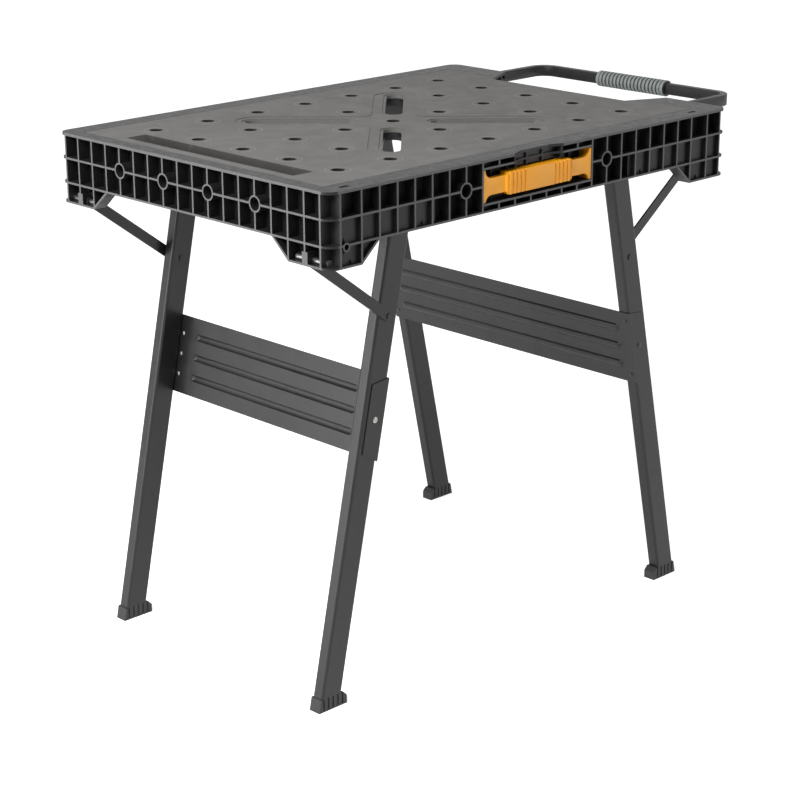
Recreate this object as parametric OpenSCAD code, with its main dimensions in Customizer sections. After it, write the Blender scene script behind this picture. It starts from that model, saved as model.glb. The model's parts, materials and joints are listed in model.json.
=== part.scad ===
// Folding workbench: a ribbed plastic top on two pairs of folding steel legs,
// with a carry handle in its front rim and a pull-out bail at its right end.
// Origin on the floor under the middle of the top, X along it, Y across, Z up.
// Left is -X, right is +X, front is -Y.

/* [Top] */
// Length of the top
top_l = 850; // [800:1:900]
// Width of the top
top_w = 600; // [580:1:620]
// Height of the working surface above the floor
top_z = 780; // [740:1:820]
// Radius of the top's upright corners
corner_r = 19; // [12:1:22]
// Height of the rim between the ears
rim_h = 76.5; // [72:0.5:84]
// How far the corner ears hang below the rim
ear_drop = 29.8; // [24:0.1:34]
// Height of the top row of cells, from the working surface to the middle rib
row_h = 38; // [32:1:42]
// Depth of the rim's cells
cell_depth = 19; // [17:0.5:21]
// Depth of the shallow cells at the ends of the long sides
shallow = 6.5; // [5:0.1:8]
// Thickness of the rim's ribs
rib_t = 3; // [2:0.1:4]
// Thickness of the wall behind the cells
back_t = 2.5; // [2:0.1:3]
// Thickness of the deck's skin and the rim's top band
skin_t = 4; // [3:0.5:5]
// Width of the left rim's top band
end_band = 23.5; // [23:0.5:26]
// Width of the front and back rims' top bands
side_band = 35.5; // [32:0.5:38]
// Width of the right rim's top band
bail_band = 46; // [44:1:50]
// Thickness of the ledge that carries the deck's edge
ledge_t = 4; // [3:0.5:6]
// How far the ledge reaches in under the deck
ledge_w = 8; // [6:1:12]
// Gap round the deck panel in its rim
seam = 0.8; // [0.3:0.1:1]

/* [Deck] */
// Distance between dog holes, three rim cells
hole_pitch = 100; // [96:1:104]
// Diameter of the dog holes
hole_d = 20; // [16:0.5:22]
// Length of the sleeve under each dog hole, skin included
sleeve_l = 20; // [10:1:20]
// Wall of the dog hole sleeves
sleeve_t = 3; // [2:0.1:3]
// Length of each clamp slot
slot_l = 170; // [140:1:172]
// Width of each clamp slot
slot_w = 27.5; // [20:0.5:30]
// Width of the sunk frame round each clamp slot
slot_frame = 4.8; // [3:0.1:5]
// Depth of the sunk frame
frame_drop = 1; // [0.5:0.1:1.5]
// Depth of the wall that hangs round each clamp slot, below the skin
slot_wall_h = 3; // [2:0.5:6]
// Width of the arms of the sunk cross that holds the clamp slots
arm_w = 69; // [60:1:72]
// From the middle of the cross to the tips of its arms
arm_reach = 242; // [236:1:244]
// Radius in the corners between the arms
arm_fillet = 15; // [10:1:16]
// How far the cross is sunk below the working surface
arm_drop = 0.8; // [0.5:0.1:1]
// Depth of the parts tray
tray_depth = 14; // [8:1:16]
// Length of the ramps at the tray's ends
tray_ramp = 16; // [8:1:24]
// Depth of the ribs under the deck
under_rib_h = 12; // [6:1:14]

/* [Legs] */
// Width of the leg tube along the bench
leg_w = 38; // [34:1:40]
// Width of the leg tube across the bench
leg_t = 21; // [18:0.5:22]
// Wall of the leg tube
leg_wall = 1.5; // [1.2:0.1:2]
// Corner radius of the leg tube
leg_r = 4; // [3:0.5:5]
// Lean of the open legs
leg_lean = 12; // [10:0.5:14]
// From the top's end to the leg's centre line on the floor
foot_inset = 58; // [50:1:75]
// From the top's side to the left legs' inner faces
leg_inset = 81; // [79:0.5:84]
// Gap between the lanes in which the left and right legs fold
lane_gap = 10; // [9:0.5:10]
// Height of the foot's sole block
foot_h = 20; // [16:1:28]
// Length of the plug that holds a foot in its tube
plug_l = 26; // [18:1:40]

/* [Fold] */
// From the top's end to the struts' upper pins, on a top centred on its holes
anchor_inset = 30; // [29:0.5:34]
// Height of the struts' upper pins above the ears' undersides
anchor_up = 6.3; // [5:0.1:9]
// Depth of the rivets between struts and open legs below the working surface
rivet_drop = 211; // [205:1:220]
// Depth of the track pins when the legs are open
pin_drop = 68; // [66:1:74]
// Depth of the left legs' centre lines when folded
left_fold_drop = 70; // [70:1:76]
// Depth of the right legs' centre lines when folded
right_fold_drop = 68; // [64:1:68]
// Width of the struts
strut_w = 16; // [14:0.5:17]
// Thickness of the struts
strut_t = 3; // [2.5:0.1:3.2]
// Diameter of the struts' upper pins
anchor_d = 10; // [8:0.5:10]
// Diameter of the rivets between struts and legs
rivet_d = 6; // [5:0.5:8]
// Diameter of the pins that run in the tracks
pin_d = 10; // [8:0.5:10]
// Thickness of the track plates
track_t = 2.6; // [2:0.1:2.6]

/* [Stretchers] */
// Thickness of the stretcher sheet
sheet_t = 1.5; // [1.2:0.1:2]
// Depth of the middle of the stretchers below the working surface
sheet_drop = 357.5; // [340:1:380]
// Height of the stretchers along the legs
sheet_h = 122; // [114:1:130]
// Width of a pressed bead
bead_w = 12.8; // [10:0.1:14]
// How far a bead stands proud
bead_h = 3.5; // [2:0.1:4]
// Distance between beads
bead_pitch = 32; // [28:1:34]

/* [Carry handle] */
// Length of the grip
grip_l = 142; // [120:1:150]
// Height of the grip
grip_h = 32.5; // [28:0.5:34]
// Thickness of the grip
grip_t = 17; // [14:0.5:18]
// How far the grip stands out of the rim
grip_out = 3.5; // [1:0.5:8]

/* [Bail] */
// How far the bail stands out of the top's end when pulled out
bail_reach = 136; // [134:1:150]
// How far the bail slides in
bail_travel = 125; // [100:1:125]
// From the top's sides to the bail's
bail_inset = 88; // [87:1:92]
// Height of the bail's bar
bar_h = 18; // [14:0.5:18]
// Thickness of the bail's bar
bar_t = 12; // [10:0.5:13]
// Outer corner radius of the bail
bail_r = 35; // [25:1:36]
// Length of the bail's grip sleeve
sleeve_grip_l = 146; // [120:1:180]
// Diameter of the bail's grip sleeve
sleeve_grip_d = 27; // [22:0.5:27]

/* [Hidden] */
$fn = 48;

// Overrun of every cut past the face that it opens
cut = 1;
// Running clearance of the hinges, on the radius
run = 0.05;
// Clearance between faces that pass each other
pass = 0.4;

// Places that follow from the top
cell = hole_pitch / 3;
mid_x = -cell / 2;
rim_z = top_z - rim_h;
ear_z = rim_z - ear_drop;
row_z = top_z - row_h;
skin_z = top_z - skin_t;
ledge_z = skin_z - ledge_t;
wall_in = cell_depth + back_t;
rim_y = top_w / 2 - wall_in;
rim_x = top_l / 2 - wall_in;
band_y = top_w / 2 - side_band;
deck_a = -top_l / 2 + end_band + seam;
deck_b = top_l / 2 - bail_band - seam;
deck_y = band_y - seam;

// The fold, in a frame with X inward from the middle of the pattern.
// An open leg runs from its track pin past the strut rivet to the floor.
left_leg_y = top_w / 2 - leg_inset;
foot_x = top_l / 2 - foot_inset;
rivet_z = top_z - rivet_drop;
pin_z = top_z - pin_drop;
sheet_z = top_z - sheet_drop;
left_fold_z = top_z - left_fold_drop;
right_fold_z = top_z - right_fold_drop;
function leg_x(z) = -(foot_x - z * tan(leg_lean));
anchor = [anchor_inset - top_l / 2, ear_z + anchor_up];
rivet = [leg_x(rivet_z), rivet_z];
pin = [leg_x(pin_z), pin_z];
pin_to_rivet = norm(rivet - pin);
strut_l = norm(rivet - anchor);
strut_open = atan2(rivet[1] - anchor[1], rivet[0] - anchor[0]);
leg_open = -90 - leg_lean;
leg_l = pin_z / cos(leg_lean);
right_leg_y = left_leg_y + leg_t + lane_gap;

// Where the track pin is when the leg has folded by a share of its swing.
// Both angles grow evenly, so the slot in the track plate is this curve.
function unit(angle) = [cos(angle), sin(angle)];
function strut_folded(fold_z) = asin((fold_z - anchor[1]) / strut_l);
function track(share, fold_z) =
    anchor
    + strut_l * unit(strut_open + (strut_folded(fold_z) - strut_open) * share)
    - pin_to_rivet * unit(leg_open * (1 - share));

// Blocks and bars that several sub-parts share.
// A box by its two opposite corners
module box(a, b) {
    translate([min(a[0], b[0]), min(a[1], b[1]), min(a[2], b[2])])
        cube([abs(a[0] - b[0]), abs(a[1] - b[1]), abs(a[2] - b[2])]);
}

// A round bar along Y
module bar_y(r, y0, y1) {
    translate([0, max(y0, y1), 0]) rotate([90, 0, 0]) cylinder(r = r, h = abs(y1 - y0));
}

// A round bar along X
module bar_x(r, x0, x1) {
    translate([min(x0, x1), 0, 0]) rotate([0, 90, 0]) cylinder(r = r, h = abs(x1 - x0));
}

// An upright block with round corners, centred in plan
module round_block(l, w, r, h) {
    translate([-l / 2 + r, -w / 2, 0]) cube([l - 2 * r, w, h]);
    translate([-l / 2, -w / 2 + r, 0]) cube([l, w - 2 * r, h]);
    for (x = [-1, 1], y = [-1, 1])
        translate([x * (l / 2 - r), y * (w / 2 - r), 0]) cylinder(r = r, h = h);
}

// A profile in X and Z, extruded from y0 to y1
module slab_xz(y0, y1) {
    translate([0, max(y0, y1), 0]) rotate([90, 0, 0]) linear_extrude(abs(y1 - y0)) children();
}

// A profile in Y and Z, extruded from x0 to x1
module slab_yz(x0, x1) {
    translate([min(x0, x1), 0, 0]) rotate([90, 0, 90]) linear_extrude(abs(x1 - x0)) children();
}

// The rim: an outline with ears, and sunk cells between its ribs in three rows.
// Columns of cells are counted in half pitches from the middle of the top.
boss_d = 24;
boss_wall = 2.5;
boss_dish = 1;
boss_depth = 12;
rows = [[row_z + rib_t / 2, skin_z], [rim_z + rib_t, row_z - rib_t / 2], [ear_z + rib_t, rim_z]];

// Front view of one side: half lengths, and the starts of the ears
module rim_outline(half_a, half_b, ear_a, ear_b) {
    polygon([
        [-half_a, top_z], [-half_a, ear_z], [-ear_a, ear_z], [-ear_a + cell, rim_z],
        [ear_b - cell, rim_z], [ear_b, ear_z], [half_b, ear_z], [half_b, top_z]
    ]);
}

// One sunk cell of a row, between the ribs at a and b
module cell_hole(a, b, row) {
    translate([a + rib_t / 2, row[0]]) square([b - a - rib_t, row[1] - row[0]]);
}

// The cell under a slope, which follows it
module slope_hole(a, b, rise) {
    low = ear_z + 2 * rib_t;
    x0 = a + rib_t / 2;
    x1 = b - rib_t / 2;
    polygon(rise > 0
        ? [[x0, rim_z], [x0, low], [x1 - rib_t, rim_z]]
        : [[x1, rim_z], [x1, low], [x0 + rib_t, rim_z]]);
}

module rim_left() { color("#1d1d1f") rim_end(-1); }
module rim_right() { color("#1d1d1f") rim_end(1); }
module rim_front() { color("#1d1d1f") rim_side(-1); }
module rim_back() { color("#1d1d1f") rim_side(1); }

// Ribs of the end rims, at odd half pitches from the middle, then the end rib
end_corner = top_w / 2 - cell_depth;
end_n = floor(end_corner / cell + 0.3);
end_ribs = [for (k = [1 : 2 : 2 * end_n - 1]) k * cell / 2];
end_ear = end_ribs[end_n - 2];
end_bosses = [for (k = [-9, -3, 3, 9]) k * cell / 2];
end_edges = concat(
    [-end_corner], [for (k = [end_n - 1 : -1 : 0]) -end_ribs[k]], end_ribs, [end_corner]);
pad_w = 11;
pad_h = 19.3;

module rim_end(side) {
    outer = side * top_l / 2;
    inner = side * rim_x;
    sunk = side * (top_l / 2 - cell_depth);
    over = outer + side * cut;
    difference() {
        union() {
            intersection() {
                slab_yz(outer, inner) rim_outline(top_w / 2, top_w / 2, end_ear, end_ear);
                translate([0, 0, ear_z]) round_block(top_l, top_w, corner_r, top_z - ear_z);
            }
            if (side < 0) left_band();
            if (side > 0) right_band();
        }
        for (k = [0 : len(end_edges) - 2]) {
            a = end_edges[k];
            b = end_edges[k + 1];
            slab_yz(over, sunk) cell_hole(a, b, rows[0]);
            slab_yz(over, sunk) cell_hole(a, b, rows[1]);
            if (min(abs(a), abs(b)) > end_ear - rib_t)
                slab_yz(over, sunk) cell_hole(a, b, rows[2]);
        }
        for (row = rows, s = [-1, 1])
            box([over, s * (end_corner + rib_t / 2), row[0]], [sunk, s * (top_w / 2 + cut), row[1]]);
        slab_yz(over, sunk) slope_hole(end_ear - cell, end_ear, -1);
        slab_yz(over, sunk) slope_hole(-end_ear, -end_ear + cell, 1);
        if (side < 0) strut_mouths();
        if (side < 0) for (y = end_bosses) translate([0, y, row_z])
            bar_x(boss_d / 2 - boss_wall, over, outer - side * boss_depth);
        if (side > 0) bail_mouths();
        if (side > 0) notch_cut();
    }
    if (side < 0) {
        for (y = end_bosses) translate([0, y, row_z]) difference() {
            bar_x(boss_d / 2, outer, sunk);
            bar_x(boss_d / 2 - boss_wall, over, outer - side * boss_depth);
        }
        for (s = [-1, 1]) difference() {
            translate([0, s * end_ribs[end_n - 1], 0])
                box([outer, -pad_w / 2, ear_z], [sunk, pad_w / 2, ear_z + pad_h]);
            strut_mouths();
        }
    }
}

// The bands that reach in over the cells to the deck, and the ledges under it
module left_band() {
    box([-rim_x, -band_y, skin_z], [-top_l / 2 + end_band, band_y, top_z]);
    box([-rim_x, -band_y + ledge_w, ledge_z], [-top_l / 2 + end_band + ledge_w, band_y - ledge_w, skin_z]);
}

module right_band() {
    clear_y = bail_w / 2 + 2 * ledge_w;
    box([rim_x, -band_y, skin_z], [top_l / 2 - bail_band, band_y, top_z]);
    for (s = [-1, 1])
        box([rim_x, s * clear_y, ledge_z],
            [top_l / 2 - bail_band - ledge_w, s * (band_y - ledge_w), skin_z]);
}

// Openings in the left rim's ears, where the struts swing
mouth_w = 7;
mouth_h = 22;
module strut_mouths() {
    y = left_leg_y + leg_t + strut_t / 2;
    for (s = [-1, 1])
        box([-top_l / 2 + rib_t, s * (y - mouth_w / 2), ear_z - cut],
            [-rim_x + cut, s * (y + mouth_w / 2), ear_z + mouth_h]);
    for (s = [-1, 1])
        translate([mid_x + anchor[0], 0, anchor[1]]) {
            bar_y(anchor_d / 2 + run, s * anchor_y0, s * anchor_y1);
            bar_y(left_head_d / 2 + run, s * anchor_y1, s * (anchor_y1 + left_head_t + cut));
        }
}

// Ribs of the front and back rims, on the same pitch as the dog holes.
// The end rims' walls close their last cells.
side_n = floor(rim_x / cell - 0.3);
open_end = rim_x + rib_t;
last_rib = top_l / 2 - cell_depth - cell;
shallow_x = 206;
recess_a = -4;
recess_b = 3;
recess_foot = 13.5;
recess_head = 14.5;
recess_lo = rim_z + recess_foot;
recess_hi = top_z - recess_head;
side_bosses = [recess_a - 1, recess_b + 1];
side_edges = concat(
    [-open_end],
    [for (k = [-side_n : 1 : side_n - 1]) if (k <= recess_a || k >= recess_b) k * cell],
    [last_rib, open_end]);
mark_w = 7.5;
mark_h = 5.6;
mark_depth = 1.8;
mark_places = [
    [-(side_n + 0.55) * cell, rows[2][0]], [-(side_n - 3.5) * cell, rows[1][0]],
    [(side_n - 4.5) * cell, rows[1][0]], [(side_n - 0.4) * cell, rows[2][0]]
];

module rim_side(side) {
    outer = side * top_w / 2;
    inner = side * rim_y;
    sunk = side * (top_w / 2 - cell_depth);
    low = side * (top_w / 2 - shallow);
    over = outer + side * cut;
    difference() {
        union() {
            slab_xz(outer, inner)
                rim_outline(rim_x, rim_x, side_n * cell, (side_n - 1) * cell);
            box([-rim_x, inner, skin_z], [rim_x, side * band_y, top_z]);
            box([-rim_x, inner, ledge_z], [rim_x, side * (band_y - ledge_w), skin_z]);
        }
        for (k = [0 : len(side_edges) - 2]) {
            a = side_edges[k];
            b = side_edges[k + 1];
            far = abs((a + b) / 2 - mid_x);
            if (b - a < 2 * cell) {
                slab_xz(over, sunk) cell_hole(a, b, rows[0]);
                slab_xz(over, low) cell_hole(a, b, rows[1]);
                if (far < shallow_x + cell / 2)
                    slab_xz(over, sunk) cell_hole(
                        max(a, mid_x - shallow_x - rib_t / 2),
                        min(b, mid_x + shallow_x + rib_t / 2), rows[1]);
                else
                    slab_xz(low - side * back_t, inner - side * cut) cell_hole(a, b, rows[1]);
                if (b < -(side_n - 1 / 2) * cell || a > (side_n - 3 / 2) * cell)
                    slab_xz(over, low) cell_hole(a, b, rows[2]);
            }
        }
        slab_xz(over, low) slope_hole((side_n - 2) * cell, (side_n - 1) * cell, -1);
        slab_xz(over, low) slope_hole(-side_n * cell, -(side_n - 1) * cell, 1);
        for (p = mark_places)
            box([p[0] - mark_w / 2, over, p[1]], [p[0] + mark_w / 2, low - side * mark_depth, p[1] + mark_h]);
        for (k = side_bosses) translate([k * cell, 0, row_z])
            bar_y(boss_d / 2 - boss_wall, over, outer - side * boss_dish);
        if (side < 0) handle_recess();
        if (side < 0) hook_marks();
        if (side < 0) star_recess();
        if (side > 0) back_cells();
        for (s = [-1, 1])
            translate([mid_x - anchor[0], 0, anchor[1]])
                bar_y(anchor_d / 2 + run, s * right_anchor_y0, s * right_anchor_y1);
    }
    for (k = side_bosses)
        translate([k * cell, 0, row_z]) difference() {
            bar_y(boss_d / 2, outer, sunk);
            bar_y(boss_d / 2 - boss_wall, over, outer - side * boss_dish);
        }
    if (side < 0) star_boss();
}

// A small ringed boss at the front left ear, in a four-pointed recess
star_x = 9;
star_up = 28.8;
star_w = 17;
star_h = 25.4;
star_neck = 6;
star_sunk = 1.5;
star_boss_d = 12.7;
star_hole_d = 8;
module star_recess() {
    wall = -top_w / 2 + shallow;
    slab_xz(wall - cut / 2, wall + star_sunk) translate([-rim_x + star_x, ear_z + star_up]) polygon([
        [-star_w / 2, 0], [-star_neck / 2, star_neck / 2], [0, star_h / 2], [star_neck / 2, star_neck / 2],
        [star_w / 2, 0], [star_neck / 2, -star_neck / 2], [0, -star_h / 2], [-star_neck / 2, -star_neck / 2]
    ]);
    translate([-rim_x + star_x, 0, ear_z + star_up])
        bar_y(star_hole_d / 2, -top_w / 2 - cut, wall + star_sunk);
}

module star_boss() {
    wall = -top_w / 2 + shallow + star_sunk;
    translate([-rim_x + star_x, 0, ear_z + star_up]) difference() {
        bar_y(star_boss_d / 2, -top_w / 2, wall + star_sunk);
        bar_y(star_hole_d / 2, -top_w / 2 - cut, wall);
    }
}

// Two shallow marks in the front band
hook_w = 15;
hook_l = 8;
hook_in = 13;
hook_depth = 1.2;
hook_a = 35;
hook_b = 63;
module hook_marks() {
    for (x = [-top_l / 2 + hook_a, top_l / 2 - hook_b - hook_w])
        box([x, -top_w / 2 + hook_in, top_z - hook_depth],
            [x + hook_w, -top_w / 2 + hook_in + hook_l, top_z + cut]);
}

// The deep opening behind the carry handle, with small cells above and below it.
// The finger cut-out in the top band bares an inner wall and its ribs above the grip.
finger_l = 106;
finger_deep_l = 60;
finger_depth = 9;
inner_depth = 12;
apron = 7;
module handle_recess() {
    outer = -top_w / 2 - cut;
    sunk = -top_w / 2 + cell_depth;
    inner = -top_w / 2 + inner_depth;
    a = recess_a * cell + rib_t / 2;
    b = recess_b * cell - rib_t / 2;
    apron_a = mid_x - cell / 2 - cell;
    apron_b = mid_x + cell / 2 + cell;
    box([a, outer, recess_lo], [b, -rim_y + cut, recess_hi - apron]);
    box([a, outer, recess_hi - apron - cut], [apron_a, -rim_y + cut, recess_hi]);
    box([apron_b, outer, recess_hi - apron - cut], [b, -rim_y + cut, recess_hi]);
    for (k = [recess_a : recess_b - 1]) {
        side_cell = k == recess_a || k == recess_b - 1;
        behind = side_cell || abs((k + 1 / 2) * cell - mid_x) < 3 / 2 * cell;
        slab_xz(outer, side_cell ? inner : sunk)
            cell_hole(k * cell, (k + 1) * cell, [rim_z + rib_t, recess_lo - rib_t]);
        slab_xz(outer, behind ? inner : sunk)
            cell_hole(k * cell, (k + 1) * cell, [recess_hi + rib_t, skin_z]);
        if (behind && !side_cell)
            slab_xz(outer, inner)
                cell_hole(k * cell, (k + 1) * cell, [recess_hi - apron - cut, recess_hi]);
    }
    translate([mid_x, -top_w / 2, recess_hi - apron - cut]) linear_extrude(recess_head + apron + 2 * cut)
        polygon([
            [-finger_l / 2, -cut], [-finger_l / 2, 0], [-finger_deep_l / 2, finger_depth],
            [finger_deep_l / 2, finger_depth], [finger_l / 2, 0], [finger_l / 2, -cut]
        ]);
}

// Plain cells where the front has its handle
module back_cells() {
    outer = top_w / 2 + cut;
    sunk = top_w / 2 - cell_depth;
    for (k = [recess_a : recess_b - 1], row = [rows[0], rows[1]])
        slab_xz(outer, sunk) cell_hole(k * cell, (k + 1) * cell, row);
}

// The notch in the right edge, which takes the bail's grip when it is pushed in
notch_depth = 68;
notch_x = top_l / 2 - notch_depth;
notch_side = 67;
notch_mouth_side = 35;
module notch_cut() {
    half = bail_w / 2 - notch_side;
    mouth = bail_w / 2 - notch_mouth_side;
    translate([0, 0, row_z + rib_t / 2]) linear_extrude(row_h + cut) polygon([
        [notch_x, -half], [notch_x, half], [top_l / 2 + cut, mouth], [top_l / 2 + cut, -mouth]
    ]);
}

// Windows through the right rim for the bail's arms. Each follows the bend of the
// bail where the bail is pushed in.
bail_w = top_w - 2 * bail_inset;
bail_drop = 5.5;
bail_z = top_z - bail_drop - bar_h;
bail_y = bail_w / 2 - bar_t;
bail_x = top_l / 2 + bail_reach;
bend_x = bail_x - bail_travel - bail_r;
bend_y = bail_w / 2 - bail_r;
bend_steps = 6;
module bail_mouths() {
    r = bail_r - bar_t - pass;
    window_x = min(bend_x, rim_x) - cut;
    for (s = [0, 1]) mirror([0, s, 0]) translate([0, 0, bail_z - pass])
        linear_extrude(bar_h + 2 * pass) polygon(concat(
            [[window_x, bend_y + r]],
            [for (k = [0 : bend_steps])
                [bend_x, bend_y] + r * unit(90 - 90 * k / bend_steps)],
            [[bend_x + r, bend_y - cut], [top_l / 2 + cut, bend_y - cut],
             [top_l / 2 + cut, bail_w / 2 + pass], [window_x, bail_w / 2 + pass]]));
}

// The deck: a flat skin with dog holes, a window for the sunk cross and one for the tray.
// Where the skin lies between the arms of the cross, it comes to four points.
arm_r = arm_w / 2;
tip_u = arm_reach - arm_r;
window = tip_u * cos(45) + arm_r;
hub_half = arm_r + arm_fillet;
hub_corner = hub_half / cos(45);
slot_u = hole_pitch / cos(45);
slot_a = slot_u - slot_l / 2 + slot_w / 2;
slot_b = slot_u + slot_l / 2 - slot_w / 2;
arm_z = top_z - arm_drop;
tray_x = mid_x - (side_n - 1 / 2) * cell;
hole_n = floor((top_l / 2 - foot_inset - bail_band / 2) / hole_pitch);
hole_m = floor(left_leg_y / hole_pitch);
tray_l = (6 * hole_m - 1) * cell;
tray_wall = 2.5;
deck_r = 3;

hole_places = [
    for (i = [-hole_n : hole_n], j = [-hole_m : hole_m])
        if (abs(i) != 1 || abs(j) != 1) [mid_x + i * hole_pitch, j * hole_pitch]
];

module dog_holes(z, h) {
    for (p = hole_places) translate([p[0], p[1], z]) cylinder(d = hole_d, h = h);
}

module deck_panel() {
    color("#5f5f5e") difference() {
        translate([(deck_a + deck_b) / 2, 0, skin_z])
            round_block(deck_b - deck_a, 2 * deck_y, deck_r, skin_t);
        translate([mid_x, 0, skin_z - cut]) round_block(2 * window, 2 * window, arm_r, skin_t + 2 * cut);
        for (p = hole_places)
            if (max(abs(p[0] - mid_x), abs(p[1])) > window)
                translate([p[0], p[1], skin_z - cut]) cylinder(d = hole_d, h = skin_t + 2 * cut);
        box([tray_x - cell / 2 - tray_wall, -tray_l / 2 - tray_wall, skin_z - cut],
            [tray_x + cell / 2 + tray_wall, tray_l / 2 + tray_wall, top_z + cut]);
        notch_cut();
    }
}

// The four points of the skin between the arms
module deck_quarters() {
    foot_w = window - arm_r / cos(45);
    tip = arm_fillet * cos(45);
    color("#5f5f5e") for (a = [0, 90, 180, 270])
        translate([mid_x, 0, skin_z]) rotate([0, 0, a]) difference() {
            union() {
                linear_extrude(skin_t) polygon([
                    [window, foot_w], [window, -foot_w], [hub_corner - tip, -tip], [hub_corner - tip, tip]
                ]);
                translate([hub_corner, 0, 0]) cylinder(r = arm_fillet, h = skin_t);
            }
            translate([hole_pitch, 0, -cut]) cylinder(d = hole_d, h = skin_t + 2 * cut);
        }
}

// The middle of the cross, with its dog hole
module deck_hub() {
    h = arm_z - skin_z;
    color("#5a5a59") translate([mid_x, 0, skin_z]) difference() {
        rotate([0, 0, 45]) translate([-hub_half, -hub_half, 0]) cube([2 * hub_half, 2 * hub_half, h]);
        for (a = [0, 90, 180, 270]) rotate([0, 0, a])
            translate([hub_corner, 0, -cut]) cylinder(r = arm_fillet, h = h + 2 * cut);
        translate([0, 0, -cut]) cylinder(d = hole_d, h = h + 2 * cut);
    }
}

// A stadium round a clamp slot, wider than the slot all round by grow
module slot_shape(grow, z0, z1) {
    translate([slot_u, 0, z0])
        round_block(slot_l + 2 * grow, slot_w + 2 * grow, slot_w / 2 + grow - run / 10, z1 - z0);
}

// One arm of the cross, along X from the middle, with its slot, frame and wall
module arm() {
    difference() {
        union() {
            box([hub_half, -arm_r, skin_z], [tip_u, arm_r, arm_z]);
            translate([tip_u, 0, skin_z]) cylinder(r = arm_r, h = arm_z - skin_z);
            slot_shape(slot_frame, skin_z - slot_wall_h, skin_z);
        }
        slot_shape(slot_frame, arm_z - frame_drop, arm_z + cut);
        slot_shape(0, skin_z - slot_wall_h - cut, arm_z + cut);
    }
}

module arm_middle() {
    box([slot_a, -arm_w, skin_z - slot_wall_h - cut], [tip_u, arm_w, top_z]);
}

// The arms' long sides, and their ends
module slot_rails() {
    color("#5a5a59") for (a = [45, 135, 225, 315])
        translate([mid_x, 0, 0]) rotate([0, 0, a]) intersection() { arm(); arm_middle(); }
}

module slot_ends() {
    color("#5a5a59") for (a = [45, 135, 225, 315])
        translate([mid_x, 0, 0]) rotate([0, 0, a]) difference() { arm(); arm_middle(); }
}

// The parts tray, with a ramp at each end
module parts_tray() {
    floor_z = top_z - tray_depth;
    color("#5f5f5e") difference() {
        box([tray_x - cell / 2 - tray_wall, -tray_l / 2 - tray_wall, floor_z - tray_wall],
            [tray_x + cell / 2 + tray_wall, tray_l / 2 + tray_wall, top_z]);
        slab_yz(tray_x - cell / 2, tray_x + cell / 2) polygon([
            [-tray_l / 2, top_z + cut], [-tray_l / 2, top_z], [-tray_l / 2 + tray_ramp, floor_z],
            [tray_l / 2 - tray_ramp, floor_z], [tray_l / 2, top_z], [tray_l / 2, top_z + cut]
        ]);
    }
}

// Sleeves under the dog holes, except over the bail's arms
module hole_sleeves() {
    r = hole_d / 2 + sleeve_t;
    color("#5f5f5e") for (p = hole_places)
        if (!(abs(p[1]) > bail_y - hole_pitch / 2 && p[0] > bail_in - bail_travel - r))
            translate([p[0], p[1], top_z - sleeve_l]) difference() {
                cylinder(r = r, h = sleeve_l - skin_t);
                translate([0, 0, -cut]) cylinder(d = hole_d, h = sleeve_l);
            }
}

// Ribs under the deck, which stop short of each other and of the clamp slots
under_rib_t = 2.5;
under_rib_gap = 1;
module rib_line(grow) {
    a = tray_x + cell;
    b = notch_x - 2 * cell;
    for (j = [1 - 2 * hole_m : 2 : 2 * hole_m - 1])
        box([a, j * hole_pitch / 2 - under_rib_t / 2 - grow, skin_z - under_rib_h - grow],
            [b, j * hole_pitch / 2 + under_rib_t / 2 + grow, skin_z + grow]);
}

module deck_ribs() {
    half = hole_m * hole_pitch - cell / 2;
    z = skin_z - under_rib_h;
    color("#5f5f5e") difference() {
        union() {
            rib_line(0);
            difference() {
                for (i = [1 - 2 * hole_n : 2 : 2 * hole_n - 1])
                    box([mid_x + i * hole_pitch / 2 - under_rib_t / 2, -half, z],
                        [mid_x + i * hole_pitch / 2 + under_rib_t / 2, half, skin_z]);
                rib_line(under_rib_gap);
            }
        }
        for (a = [45, 135, 225, 315])
            translate([mid_x, 0, 0]) rotate([0, 0, a])
                slot_shape(slot_frame + under_rib_gap, z - cut, skin_z + cut);
    }
}

// The carry handle: a grip with fluted ends, whose necks flare into two end plates
plate_t = 4;
plate_lo = recess_lo + 1;
plate_hi = recess_hi - 1.5;
grip_chamfer = 5;
grip_sag = 1.5;
grip_z = (recess_lo + recess_hi - grip_h) / 2 - grip_sag;
neck_h = 24;
neck_t = 10;
neck_in = 4.5;
flare_r = 13;
flute_r = 2;
flute_n = 5;
flute_pitch = 8.4;
flute_in = 5;
module grip_outline() {
    half = grip_l / 2;
    polygon([
        [-half, grip_chamfer], [-half + grip_chamfer, 0], [half - grip_chamfer, 0], [half, grip_chamfer],
        [half, grip_h - grip_chamfer], [half - grip_chamfer, grip_h],
        [-half + grip_chamfer, grip_h], [-half, grip_h - grip_chamfer]
    ]);
}

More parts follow.
